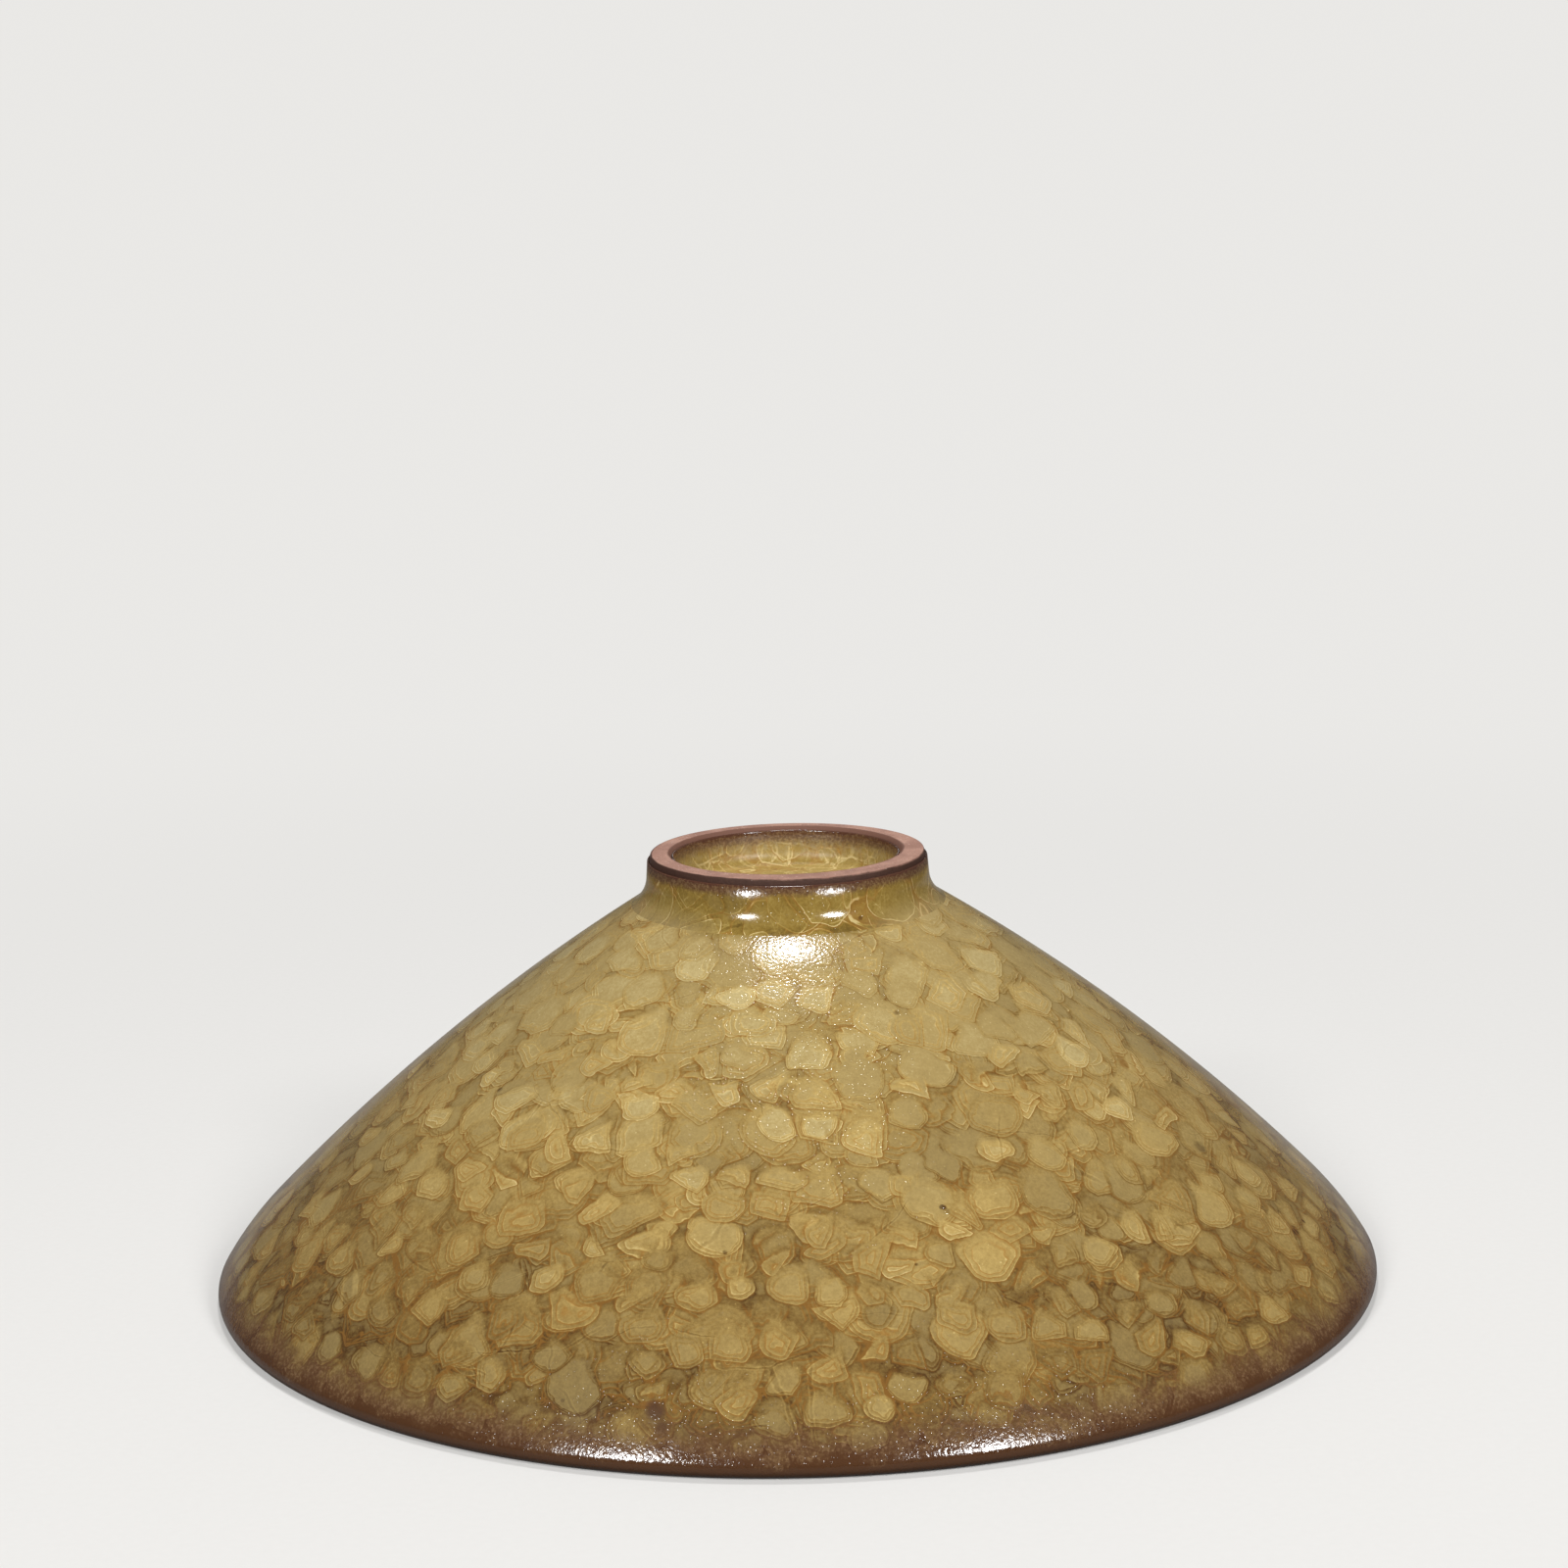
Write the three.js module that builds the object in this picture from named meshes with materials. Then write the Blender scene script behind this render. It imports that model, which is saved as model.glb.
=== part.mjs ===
// Conical bowl in crackle-glazed stoneware, standing mouth down on its lip.
// Millimetres, +Z up. The origin is the middle of the mouth, on the surface that the lip stands on.
// Every piece is a revolve. A section is a list of points (radius, height) that runs clockwise:
// down the outside, round the bottom and back up the inside.
import * as THREE from 'three';

// Outer form, over the glaze
const mouthRadius = 85; // at the lip's widest
const height = 62.6; // mouth plane to the bare face of the foot ring
const lipThickness = 3; // the lip is a full round of this width
const lipLean = 31; // degrees that the wall still leans over where the lip's round begins
const rimBend = 42; // radius of the wall's last turn, above the lip
const wallBow = 317; // radius of the wall's slow outward bow

// Foot ring
const footRadius = 19.9; // outer edge of the bare face
const footHeight = 7.4; // bare face to the root, where the wall starts
const footSpread = 3; // outward from the face's edge to the root
const footFace = 2.8; // width of the bare face
const outerBevel = 0.2; // how far the bare band leans out below the face
const bareBand = 0.9; // height of the bare band, from the face to the glaze line
const innerBevel = 0.5; // turned bevel along the inner edge of the face
const rootFillet = 5; // hollow turn from the wall into the foot ring's side

// Well inside the foot ring
const wellDepth = 5.5; // bare face to the glazed floor
const wellDraft = 4; // degrees that the side leans in towards the floor
const wellFillet = 2.2; // turn of the glaze from the side into the floor

// Wall and base, glaze to glaze
const wallThickness = 6.2; // next to the foot; it thins to lipThickness
const baseThickness = 4.6; // floor of the well to floor of the bowl

// Depth of the glaze
const outerCoat = 1.2;
const innerCoat = 1.1;
const lipCoat = 0.5; // iron slip under run-thin glaze
const rootPool = 0.3; // more where it gathers at the root of the foot ring
const sideCoat = 0.6; // on the foot ring's side
const footLineCoat = 0.2; // at the glaze line
const wellCoat = 1;
const wellLineCoat = 0.2; // at the top of the well
const coatRun = 0.22; // share of the wall over which a coat runs thin or gathers

// Clearances
const bond = 0.1; // a layer to the clay under it
const butt = 0.3; // the end of one coat to the end of the next

// Steps of the facets
const turnSteps = 56;
const wallSteps = 7;
const dishSteps = 4;
const filletSteps = 4;

const degrees = Math.PI / 180;
const quarter = 90 * degrees;
const half = 180 * degrees;
const mix = THREE.MathUtils.lerp;
const ease = (share) => THREE.MathUtils.smoothstep(share, 0, 1);
const at = (radius, z) => new THREE.Vector2(radius, z);

function polar(centre, angle, distance) {
  return at(centre.x + distance * Math.cos(angle), centre.y + distance * Math.sin(angle));
}

// Points on a circle between two angles, each moved in from it by depth(share of the run)
function arc(circle, from, to, steps, depth) {
  return Array.from({ length: steps + 1 }, (_, step) => {
    const share = step / steps;
    return polar(circle.centre, mix(from, to, share), circle.radius - depth(share));
  });
}

// Runs that follow on, without the points where they meet given twice
function joined(...runs) {
  return runs.reduce((all, run) => [...all, ...run.slice(1)]);
}

// Centre of the circle of a radius that passes through a point and has another circle inside it,
// just touching
function roundingCentre(radius, through, circle) {
  const span = through.clone().sub(circle.centre);
  const reach = radius - circle.radius;
  const foot = (reach ** 2 - radius ** 2 + span.lengthSq()) / (2 * span.length());
  const side = Math.sqrt(reach ** 2 - foot ** 2);
  return polar(polar(circle.centre, span.angle(), foot), span.angle() + quarter, side);
}

// The outer form is three circles that touch: the lip's round, the bend above it and the wall
const leanAngle = lipLean * degrees;
const lip = { centre: at(mouthRadius - lipThickness / 2, lipThickness / 2), radius: lipThickness / 2 };
const bend = { centre: polar(lip.centre, leanAngle, lip.radius - rimBend), radius: rimBend };
const root = at(footRadius + footSpread, height - footHeight);
const wall = { centre: roundingCentre(wallBow, root, bend), radius: wallBow };
const rootAngle = root.clone().sub(wall.centre).angle();
const bendAngle = bend.centre.clone().sub(wall.centre).angle();
const joinAngle = mix(bendAngle, leanAngle, 0.5); // where the wall's coats meet the lip's

// The floor of the bowl is a shallow dish on the axis. It touches the inner face of the wall.
const dishTop = height - wellDepth - baseThickness;
const innerBow = wallBow - wallThickness;
const rise = dishTop - wall.centre.y;
const dishRadius = (innerBow ** 2 - wall.centre.x ** 2 - rise ** 2) / (2 * (innerBow - rise));
const dish = { centre: at(0, dishTop - dishRadius), radius: dishRadius };
const dishAngle = dish.centre.clone().sub(wall.centre).angle();

// Depths by the share of the wall that lies between the lip and a point
const wallAt = (share) => mix(lipThickness, wallThickness, ease(share));
const outerCoatAt = (share) => mix(lipCoat, outerCoat, ease(share / coatRun))
  + rootPool * ease(1 - (1 - share) / coatRun);
const innerCoatAt = (share) => mix(lipCoat, innerCoat, ease(share / coatRun));

// The outside of the wall, from the root down to the bend, at a depth below the glaze
function outerRun(depth) {
  return arc(wall, rootAngle, bendAngle, wallSteps, (share) => depth(1 - share));
}

// The turn above the lip, on either side of it
function bendRun(from, to, depth) {
  return arc(bend, from, to, Math.round(2 * Math.abs(to - from) / (bendAngle - leanAngle)), () => depth);
}

function lipRun(depth) {
  const even = () => depth;
  return joined(
    arc(lip, leanAngle, 0, 1, even),
    arc(lip, 0, -quarter, 3, even),
    arc(lip, -quarter, leanAngle - half, 3, even),
  );
}

// The inside, from the bend up the wall and over the dish to the axis, at a depth above the glaze
function innerRun(depth) {
  const up = arc(wall, bendAngle, dishAngle, wallSteps, (share) => wallAt(share) - depth(share));
  const over = arc(dish, dishAngle, quarter, dishSteps, () => -depth(1));
  return joined(up, [...over.slice(0, -1), at(0, dishTop + depth(1))]);
}

// Side of the foot ring: a fillet that carries on from the wall, then straight to the glaze line.
// At its largest the fillet reaches the glaze line itself.
const glazeLine = height - bareBand;
const clayEdge = at(footRadius + outerBevel, glazeLine);
const coatEdge = at(clayEdge.x + bond + footLineCoat, glazeLine);
const rootToEdge = coatEdge.clone().sub(root);
const largestFillet = rootToEdge.lengthSq() / (2 * rootToEdge.dot(polar(at(0, 0), rootAngle, 1)));
const filletRadius = Math.min(rootFillet, largestFillet);
const fillet = { centre: polar(root, rootAngle, filletRadius), radius: filletRadius };
const toEdge = coatEdge.clone().sub(fillet.centre);
const filletStart = rootAngle + half;
const filletEnd = toEdge.angle() + Math.acos(Math.min(1, filletRadius / toEdge.length()));
const footCoatAt = (share) => mix(outerCoat + rootPool, sideCoat, ease(share));

// The fillet from one share of its turn to another, at a depth into the foot
function filletRun(from, to, depth) {
  const angleAt = (share) => mix(filletStart, filletEnd, share);
  return arc(fillet, angleAt(from), angleAt(to), filletSteps, (part) => -depth(mix(from, to, part)));
}

const footClay = (share) => footCoatAt(share) + bond;

// Share of the fillet's turn at which the clay under it reaches a height
function filletShareAt(z) {
  let low = 0;
  let high = 1;
  for (let halving = 0; halving < 30; halving += 1) {
    const middle = (low + high) / 2;
    const reached = filletRun(middle, middle, footClay)[0].y;
    if (reached < z) low = middle;
    else high = middle;
  }
  return low;
}

// The crown is the clay's flat top. It carries the foot ring and the glaze of the well.
const crown = height - wellDepth - wellCoat - bond;
const seat = crown + bond;

// Clay side of the well, as a radius by height
const boreTop = at(footRadius - footFace - innerBevel, height - innerBevel);
const boreAt = (z) => boreTop.x - (boreTop.y - z) * Math.tan(wellDraft * degrees);

function revolve(name, section, color, roughness) {
  const geometry = new THREE.LatheGeometry([...section].reverse(), turnSteps);
  geometry.rotateX(quarter);
  const mesh = new THREE.Mesh(geometry, new THREE.MeshStandardMaterial({ color, roughness, metalness: 0 }));
  mesh.name = name;
  return mesh;
}

const closed = (section) => [...section, section[0].clone()];

// The thrown body, bare: what is under every coat
function clayCone() {
  const lipDepth = lipCoat + bond;
  const section = joined(
    [at(0, crown), filletRun(filletShareAt(crown), 0, footClay)[0]],
    filletRun(filletShareAt(crown), 0, footClay),
    outerRun((share) => outerCoatAt(share) + bond),
    bendRun(bendAngle, leanAngle, lipDepth),
    lipRun(lipDepth),
    bendRun(leanAngle, bendAngle, lipThickness - lipDepth),
    innerRun((share) => innerCoatAt(share) + bond),
  );
  return revolve('clay_cone', section, 0x8f6a55, 0.9);
}

// The turned ring that the bowl stands on when it is in use, bare on its face
function footRing() {
  const section = [
    at(boreTop.x + innerBevel, height),
    at(footRadius, height),
    clayEdge,
    ...filletRun(1, filletShareAt(seat), footClay),
    at(boreAt(seat), seat),
    boreTop,
  ];
  return revolve('foot_ring', closed(section), 0xab8675, 0.85);
}

function outerGlaze() {
  const surface = joined(outerRun(() => 0), bendRun(bendAngle, joinAngle, 0));
  const under = joined(outerRun(outerCoatAt), bendRun(bendAngle, joinAngle, lipCoat));
  return revolve('outer_glaze', closed([...surface, ...under.reverse()]), 0xab8f58, 0.2);
}

function innerGlaze() {
  const surface = joined(bendRun(joinAngle, bendAngle, lipThickness), innerRun(() => 0));
  const under = joined(bendRun(joinAngle, bendAngle, lipThickness - lipCoat), innerRun(innerCoatAt));
  return revolve('inner_glaze', [...under.reverse(), ...surface], 0xab8f58, 0.2);
}

// The coat that pools down the side of the foot ring, from the glaze line to the wall's coat
function footSideGlaze() {
  const start = butt / (filletRadius * (filletStart - filletEnd));
  const surface = [...filletRun(start, 1, () => 0), coatEdge];
  const under = [...filletRun(start, 1, footCoatAt), at(clayEdge.x + bond, glazeLine)];
  return revolve('foot_side_glaze', closed([...surface.reverse(), ...under]), 0x886e32, 0.2);
}

// The coat inside the foot ring: down the side, round the fillet and over the floor
function wellGlaze() {
  const draft = wellDraft * degrees;
  const floor = height - wellDepth;
  const sideAt = (z) => boreAt(z) - (bond + wellLineCoat);
  const turnHeight = floor + wellFillet;
  const turnRadius = sideAt(turnHeight) - wellFillet / Math.cos(draft);
  const turn = { centre: at(turnRadius, turnHeight), radius: wellFillet };
  const section = [
    at(0, floor),
    ...arc(turn, -quarter, -draft, filletSteps, () => 0),
    at(sideAt(boreTop.y), boreTop.y),
    at(boreTop.x - bond, boreTop.y),
    at(boreAt(seat) - bond, seat),
    at(0, seat),
  ];
  return revolve('well_glaze', section, 0xaf9656, 0.2);
}

// Iron-brown glaze round the lip, which is what meets the floor
function lipBand() {
  const start = joinAngle - butt / rimBend;
  const shell = (depth) => joined(
    arc(bend, start, leanAngle, 1, () => depth),
    lipRun(depth),
    arc(bend, leanAngle, start, 1, () => lipThickness - depth),
  );
  return revolve('lip_band', closed([...shell(0), ...shell(lipCoat).reverse()]), 0x6b4c2c, 0.3);
}

const bowl = new THREE.Group();
bowl.add(
  clayCone(),
  footRing(),
  outerGlaze(),
  innerGlaze(),
  footSideGlaze(),
  wellGlaze(),
  lipBand(),
);

export default bowl;
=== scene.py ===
import math

import bpy
from mathutils import Matrix, Vector


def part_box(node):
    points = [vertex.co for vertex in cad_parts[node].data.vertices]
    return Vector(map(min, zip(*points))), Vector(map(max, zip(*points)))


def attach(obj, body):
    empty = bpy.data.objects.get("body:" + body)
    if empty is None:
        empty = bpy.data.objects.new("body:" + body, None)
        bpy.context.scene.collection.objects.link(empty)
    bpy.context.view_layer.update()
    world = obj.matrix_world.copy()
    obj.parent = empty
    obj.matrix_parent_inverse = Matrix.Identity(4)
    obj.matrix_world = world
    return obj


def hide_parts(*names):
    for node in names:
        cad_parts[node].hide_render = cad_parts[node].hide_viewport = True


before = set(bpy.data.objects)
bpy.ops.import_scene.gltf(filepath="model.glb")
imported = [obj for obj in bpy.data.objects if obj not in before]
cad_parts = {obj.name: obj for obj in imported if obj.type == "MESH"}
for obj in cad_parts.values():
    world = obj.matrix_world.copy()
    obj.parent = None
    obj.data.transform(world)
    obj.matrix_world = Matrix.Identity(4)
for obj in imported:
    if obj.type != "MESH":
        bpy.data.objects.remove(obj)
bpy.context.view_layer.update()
print("frame loaded:", ", ".join(sorted(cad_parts)))

mm = 0.001
scene = bpy.context.scene


# Camera, where the photograph was taken from

viewpoint = {
    "place": (0, -0.48729, 0.16488),
    "pitch": 10.7468,    # degrees below level
    "yaw": 0.0344,
    "roll": -1.3579,    # the picture's right side sits a little higher
    "lens": 78.52,
    "sensor": 36,
    "shift": (0, 0),
    "clip": (0.01, 40),
}


def setCamera(view):
    bpy.ops.object.camera_add()
    camera = bpy.context.object
    camera.name = "viewCamera"
    turn = Matrix.Rotation(math.radians(view["yaw"]), 4, "Z")
    tip = Matrix.Rotation(math.radians(90 - view["pitch"]), 4, "X")
    roll = Matrix.Rotation(math.radians(view["roll"]), 4, "Z")
    camera.matrix_world = Matrix.Translation(view["place"]) @ turn @ tip @ roll
    camera.data.sensor_width = view["sensor"]
    camera.data.lens = view["lens"]
    camera.data.shift_x, camera.data.shift_y = view["shift"]
    camera.data.clip_start, camera.data.clip_end = view["clip"]
    scene.camera = camera


setCamera(viewpoint)
scene.view_settings.view_transform = "Standard"
print("camera set")


# Shader kit: sums and products on a Value add Math nodes to its recipe

class Value:
    def __init__(self, recipe, socket):
        self.recipe = recipe
        self.socket = socket

    def __add__(self, other):
        return self.recipe.maths("ADD", self, other)

    def __radd__(self, other):
        return self.recipe.maths("ADD", other, self)

    def __sub__(self, other):
        return self.recipe.maths("SUBTRACT", self, other)

    def __rsub__(self, other):
        return self.recipe.maths("SUBTRACT", other, self)

    def __mul__(self, other):
        return self.recipe.maths("MULTIPLY", self, other)

    def __rmul__(self, other):
        return self.recipe.maths("MULTIPLY", other, self)

    def __truediv__(self, other):
        return self.recipe.maths("DIVIDE", self, other)

    def __rtruediv__(self, other):
        return self.recipe.maths("DIVIDE", other, self)

    def also(self, output):    # another output of the same node
        return Value(self.recipe, self.socket.node.outputs[output])


class Recipe:
    def __init__(self, tree):
        self.tree = tree
        tree.nodes.clear()

    # One node: its settings go in first, then the values or links of its sockets
    def node(self, kind, settings=None, sockets=None, output=0):
        made = self.tree.nodes.new(kind)
        for name, setting in (settings or {}).items():
            if name != "stops":
                setattr(made, name, setting)
                continue
            ramp = made.color_ramp.elements
            while len(ramp) < len(setting):
                ramp.new(1)
            for element, (place, colour) in zip(ramp, setting):
                element.position = place
                element.color = colour
        for key, value in (sockets or {}).items():
            if isinstance(value, Value):
                self.tree.links.new(value.socket, made.inputs[key])
            else:
                made.inputs[key].default_value = value
        return Value(self, made.outputs[output]) if made.outputs else None

    def maths(self, operation, first, second=0, third=0):
        return self.node("ShaderNodeMath", {"operation": operation}, {0: first, 1: second, 2: third})

    def rise(self, value, low, high):    # 0 at low, 1 at high, eased in between
        settings = {"interpolation_type": "SMOOTHSTEP"}
        return self.node("ShaderNodeMapRange", settings, {"Value": value, "From Min": low, "From Max": high})

    def level(self, factor, under, over):    # from one number to another
        return self.node("ShaderNodeMix", {"data_type": "FLOAT"}, {0: factor, 2: under, 3: over})

    def blend(self, factor, under, over, how="MIX"):    # from one colour to another
        settings = {"data_type": "RGBA", "blend_type": how}
        return self.node("ShaderNodeMix", settings, {0: factor, 6: under, 7: over}, 2)

    def vector(self, operation, first, second, output=0):
        return self.node("ShaderNodeVectorMath", {"operation": operation}, {0: first, 1: second}, output)

    def noise(self, place, size, detail=2, roughness=0.5):    # grain about size across
        sockets = {"Vector": place, "Scale": 1 / size, "Detail": detail, "Roughness": roughness}
        return self.node("ShaderNodeTexNoise", None, sockets)

    def grain(self, place, size, strength, detail=2, roughness=0.5):    # noise about zero
        return (self.noise(place, size, detail, roughness) - 0.5) * strength

    def parts(self, place):    # x, y and z of a vector
        x = self.node("ShaderNodeSeparateXYZ", None, {0: place})
        return x, x.also(1), x.also(2)

    def objectPlace(self):    # the object's own coordinates, in millimetres
        corner = self.node("ShaderNodeTexCoord", None, None, "Object")
        return self.vector("MULTIPLY", corner, (1000, 1000, 1000))


def newMaterial(name):
    material = bpy.data.materials.new(name)
    material.use_nodes = True
    return material, Recipe(material.node_tree)


def finishSurface(recipe, sockets):
    shader = recipe.node("ShaderNodeBsdfPrincipled", None, sockets)
    recipe.node("ShaderNodeOutputMaterial", None, {"Surface": shader})


def srgb(red, green, blue):    # a colour as a picture holds it, 0 to 255
    def linear(part):
        share = part / 255
        return share / 12.92 if share <= 0.04045 else ((share + 0.055) / 1.055) ** 2.4
    return linear(red), linear(green), linear(blue), 1


# Floor, backdrop and light

studio = {
    "pale": (0.82, 0.81, 0.79, 1),
    "floorAlbedo": (0.74, 0.73, 0.71, 1),
    "floorGrain": (0.78, 0.77, 0.75, 1),
    "floorBounce": (0.24, 0.235, 0.23, 1),    # what light other than the camera's finds
    "frontLight": (0.08, 0.08, 0.08, 1),
    "backLight": (0.5, 0.5, 0.5, 1),
    "floorSize": 12,
    "grainSize": 1.2,    # millimetres
    "fade": (0.12, 0.5),    # where the floor fades into the backdrop, from the bowl's axis
    "nearGlow": 0.35,    # share of backdrop already mixed in under the bowl
    "behind": (0.2, 0.9),    # how far back the world turns from frontLight to backLight
}


def layFloor():
    bpy.ops.object.select_all(action="DESELECT")
    bpy.ops.mesh.primitive_plane_add(size=studio["floorSize"])
    floor = bpy.context.object
    floor.name = "studioFloor"
    material, recipe = newMaterial("paleFloor")
    place = recipe.objectPlace()
    away = recipe.vector("LENGTH", place, (0, 0, 0), "Value") * mm
    light = recipe.node("ShaderNodeLightPath", None, None, "Is Camera Ray")
    grain = recipe.noise(place, studio["grainSize"], 3)
    tone = recipe.blend(grain, studio["floorAlbedo"], studio["floorGrain"])
    matt = recipe.node("ShaderNodeBsdfDiffuse", None, {"Color": tone})
    glow = recipe.node("ShaderNodeEmission", None, {"Color": studio["pale"]})
    far = recipe.level(recipe.rise(away, *studio["fade"]), studio["nearGlow"], 1)
    shown = recipe.node("ShaderNodeMixShader", None, {0: far, 1: matt, 2: glow})
    bounce = recipe.node("ShaderNodeBsdfDiffuse", None, {"Color": studio["floorBounce"]})
    mixed = recipe.node("ShaderNodeMixShader", None, {0: light, 1: bounce, 2: shown})
    recipe.node("ShaderNodeOutputMaterial", None, {"Surface": mixed})
    floor.data.materials.append(material)


def fillWorld():
    world = bpy.data.worlds.new("studioWorld")
    world.use_nodes = True
    scene.world = world
    recipe = Recipe(world.node_tree)
    towards = recipe.node("ShaderNodeTexCoord", None, None, "Generated")
    back = recipe.parts(towards)[1]
    ambient = recipe.blend(recipe.rise(back, *studio["behind"]), studio["frontLight"], studio["backLight"])
    light = recipe.node("ShaderNodeLightPath", None, None, "Is Camera Ray")
    ambient = recipe.blend(light.also("Is Glossy Ray"), ambient, studio["frontLight"])
    colour = recipe.blend(light, ambient, studio["pale"])
    glow = recipe.node("ShaderNodeBackground", None, {"Color": colour, "Strength": 1})
    recipe.node("ShaderNodeOutputWorld", None, {"Surface": glow})


# Azimuth 0 stands on the camera's side and 90 on the bowl's right
softboxes = {
    "frontLeft": {"azimuth": -35, "elevation": 34, "away": 1.6, "size": (0.36, 0.36), "power": 12.5},
    "frontRight": {"azimuth": 38, "elevation": 34, "away": 1.6, "size": (0.36, 0.36), "power": 14.5},
    "overhead": {"azimuth": 180, "elevation": 72, "away": 1.6, "size": (0.27, 0.23), "power": 10.5},
    "backStrip": {"azimuth": 180, "elevation": 12.5, "away": 1.6, "size": (0.2, 0.05), "power": 0.1},
}


def hangSoftboxes():
    for name, box in softboxes.items():
        azimuth = math.radians(box["azimuth"])
        elevation = math.radians(box["elevation"])
        out = Vector((math.sin(azimuth), -math.cos(azimuth), 0)) * math.cos(elevation)
        out.z = math.sin(elevation)
        bpy.ops.object.light_add(type="AREA", location=out * box["away"])
        lamp = bpy.context.object
        lamp.name = name
        lamp.rotation_euler = out.to_track_quat("Z", "Y").to_euler()
        lamp.data.shape = "ELLIPSE"
        lamp.data.size, lamp.data.size_y = box["size"]
        lamp.data.energy = box["power"]


layFloor()
fillWorld()
hangSoftboxes()
print("floor, backdrop and lights ready")


# Outline of the bowl, in millimetres as (radius, height)

form = {
    "mouthRadius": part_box("lip_band")[1].x / mm,
    "height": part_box("foot_ring")[1].z / mm,
    "rootHeight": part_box("outer_glaze")[1].z / mm,
    "glazeLine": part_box("foot_side_glaze")[1].z / mm,
    "lipThickness": 3,
    "lipLean": 31,    # degrees that the wall still leans over where the lip's round begins
    "rimBend": 42,
    "wallBow": 317,
    "wallThickness": 6.2,
    "baseThickness": 4.6,
    "outerCoat": 1.2,
    "innerCoat": 1.1,
    "lipCoat": 0.5,
    "coatRun": 0.22,
}
foot = {
    "radius": 19.9,
    "spread": 3,
    "face": 2.8,
    "outerBevel": 0.2,
    "innerBevel": 0.5,
    "fillet": 5,
    "rootPool": 0.3,
    "sideCoat": 0.6,
    "lineCoat": 0.2,
    "edgeRound": 0.15,
}
well = {
    "depth": 5.5,
    "draft": 4,    # degrees
    "fillet": 2.2,
    "coat": 1,
    "lineCoat": 0.2,
    "edgeRound": 0.18,
    "shift": (-0.25, 0.6),    # the well was turned a little off centre
}
bond = 0.1    # between a coat and the clay
steps = {"wall": 24, "bend": 8, "lip": 10, "dish": 12, "fillet": 10, "corner": 4, "turn": 240}
quarter = math.pi / 2


def ease(share):
    share = min(1, max(0, share))
    return share * share * (3 - 2 * share)


def mix(first, last, share):
    return first + (last - first) * share


def polar(centre, angle, distance):
    return centre + distance * Vector((math.cos(angle), math.sin(angle)))


def angleOf(span):
    return math.atan2(span.y, span.x)


def arc(circle, start, end, count, depth=0):    # depth is a number, or a function of the share run
    centre, radius = circle
    points = []
    for step in range(count + 1):
        share = step / count
        inward = depth(share) if callable(depth) else depth
        points.append(polar(centre, mix(start, end, share), radius - inward))
    return points


def joined(*runs):
    points = list(runs[0])
    for run in runs[1:]:
        points += run[1:]
    return points


# A corner of an outline, rounded off: a curve that starts and ends at reach from it
def softCorner(before, corner, after, reach):
    start = corner + (before - corner).normalized() * reach
    end = corner + (after - corner).normalized() * reach
    shares = [step / steps["corner"] for step in range(steps["corner"] + 1)]
    return [start.lerp(corner, share).lerp(corner.lerp(end, share), share) for share in shares]


# Centre of the wall's circle, which passes through the root and has the rim's bend just inside it
def roundingCentre(radius, through, circle):
    span = through - circle[0]
    reach = radius - circle[1]
    along = (reach ** 2 - radius ** 2 + span.length_squared) / (2 * span.length)
    aside = math.sqrt(reach ** 2 - along ** 2)
    return polar(polar(circle[0], angleOf(span), along), angleOf(span) + quarter, aside)


leanAngle = math.radians(form["lipLean"])
lipRadius = form["lipThickness"] / 2
lip = (Vector((form["mouthRadius"] - lipRadius, lipRadius)), lipRadius)
bend = (polar(lip[0], leanAngle, lip[1] - form["rimBend"]), form["rimBend"])
root = Vector((foot["radius"] + foot["spread"], form["rootHeight"]))
wall = (roundingCentre(form["wallBow"], root, bend), form["wallBow"])
rootAngle = angleOf(root - wall[0])
bendAngle = angleOf(bend[0] - wall[0])
joinAngle = mix(bendAngle, leanAngle, 0.5)

dishTop = form["height"] - well["depth"] - form["baseThickness"]
innerBow = form["wallBow"] - form["wallThickness"]
riseToDish = dishTop - wall[0].y
dishRadius = (innerBow ** 2 - wall[0].x ** 2 - riseToDish ** 2) / (2 * (innerBow - riseToDish))
dish = (Vector((0, dishTop - dishRadius)), dishRadius)
dishAngle = angleOf(dish[0] - wall[0])


def wallAt(share):
    return mix(form["lipThickness"], form["wallThickness"], ease(share))


def outerCoatAt(share):
    gathered = foot["rootPool"] * ease(1 - (1 - share) / form["coatRun"])
    return mix(form["lipCoat"], form["outerCoat"], ease(share / form["coatRun"])) + gathered


def innerCoatAt(share):
    return mix(form["lipCoat"], form["innerCoat"], ease(share / form["coatRun"]))


def outerRun(depth):
    return arc(wall, rootAngle, bendAngle, steps["wall"], lambda share: depth(1 - share))


def bendRun(start, end, depth):
    return arc(bend, start, end, steps["bend"], depth)


def lipRun(depth):
    return arc(lip, leanAngle, leanAngle - math.pi, 2 * steps["lip"], depth)


def innerRun(depth):
    up = arc(wall, bendAngle, dishAngle, steps["wall"], lambda share: wallAt(share) - depth(share))
    over = arc(dish, dishAngle, quarter, steps["dish"], -depth(1))
    over[-1].x = 0
    return joined(up, over)


clayEdge = Vector((foot["radius"] + foot["outerBevel"], form["glazeLine"]))
coatEdge = clayEdge + Vector((bond + foot["lineCoat"], 0))
fillet = (polar(root, rootAngle, foot["fillet"]), foot["fillet"])
toEdge = coatEdge - fillet[0]
filletStart = rootAngle + math.pi
filletEnd = angleOf(toEdge) + math.acos(foot["fillet"] / toEdge.length)


def footCoatAt(share):
    return mix(form["outerCoat"] + foot["rootPool"], foot["sideCoat"], ease(share))


def footClayAt(share):
    return footCoatAt(share) + bond


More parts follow.
